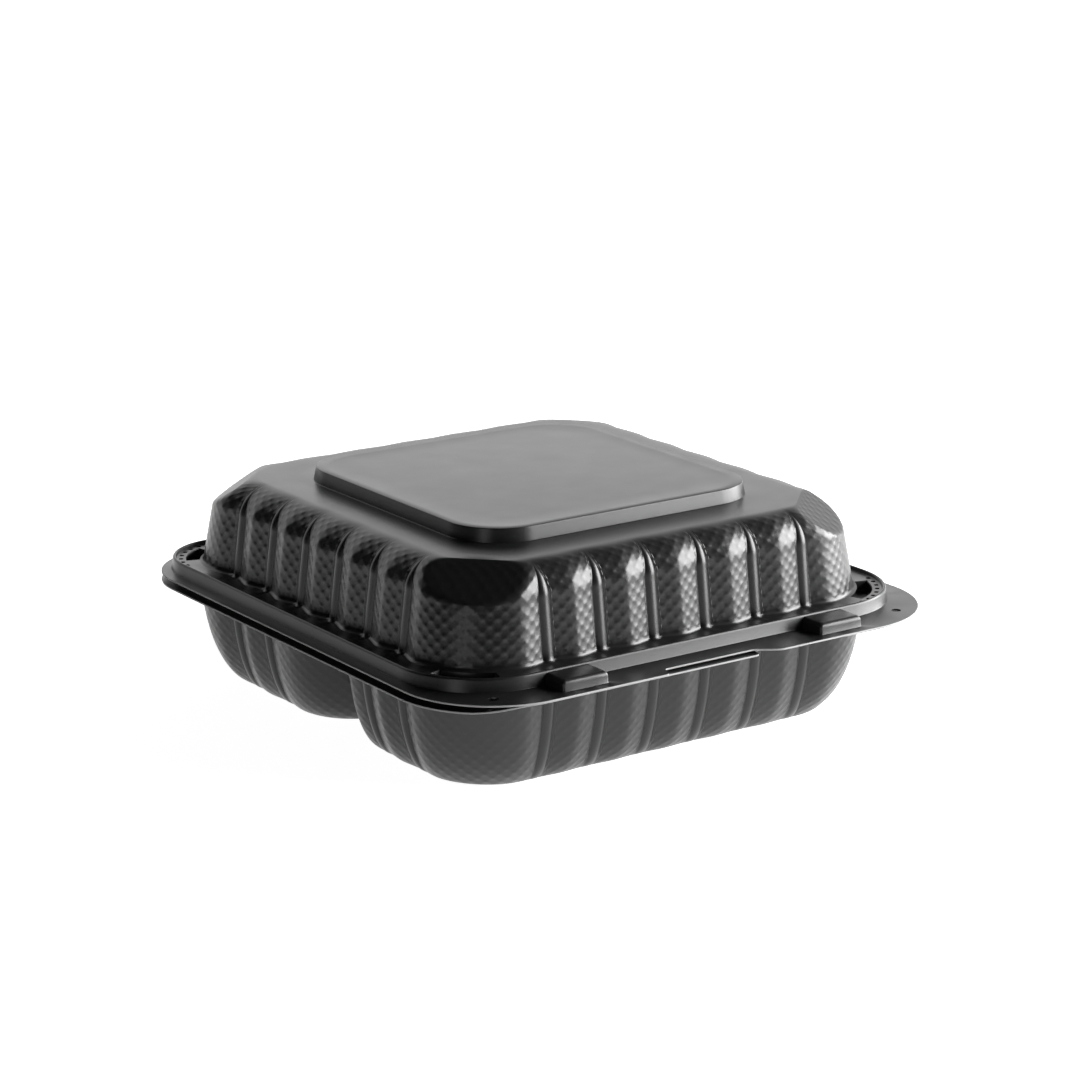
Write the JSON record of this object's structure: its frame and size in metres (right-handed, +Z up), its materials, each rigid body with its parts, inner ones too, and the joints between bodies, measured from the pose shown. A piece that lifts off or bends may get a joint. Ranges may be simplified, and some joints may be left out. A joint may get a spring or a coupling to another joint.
{
  "type": "hinged take-out container",
  "caption": "Black clamshell take-out container in ribbed formed plastic, with a compartment tray, a hinged domed lid and snap latches at the front.",
  "frame": {"origin": "middle of the closed container's footprint, at the height of the compartment floors", "axes": "+Z up from the table to the lid panel, +Y from the front lip and latches towards the hinge, +X to the right seen from the front"},
  "size_m": [0.2034, 0.2156, 0.0789],
  "materials": {
    "black_plastic": "satin"
  },
  "bodies": {
    "base_body": {"base": "black_plastic"},
    "lid_body": {"lid": "black_plastic"}
  },
  "joints": [
    {"name": "lid_hinge", "type": "hinge", "parent": "base_body", "child": "lid_body", "pos_m": [0, 0.1073, 0.03725], "axis": [-1, 0, 0], "range_deg": [0, 170]}
  ]
}
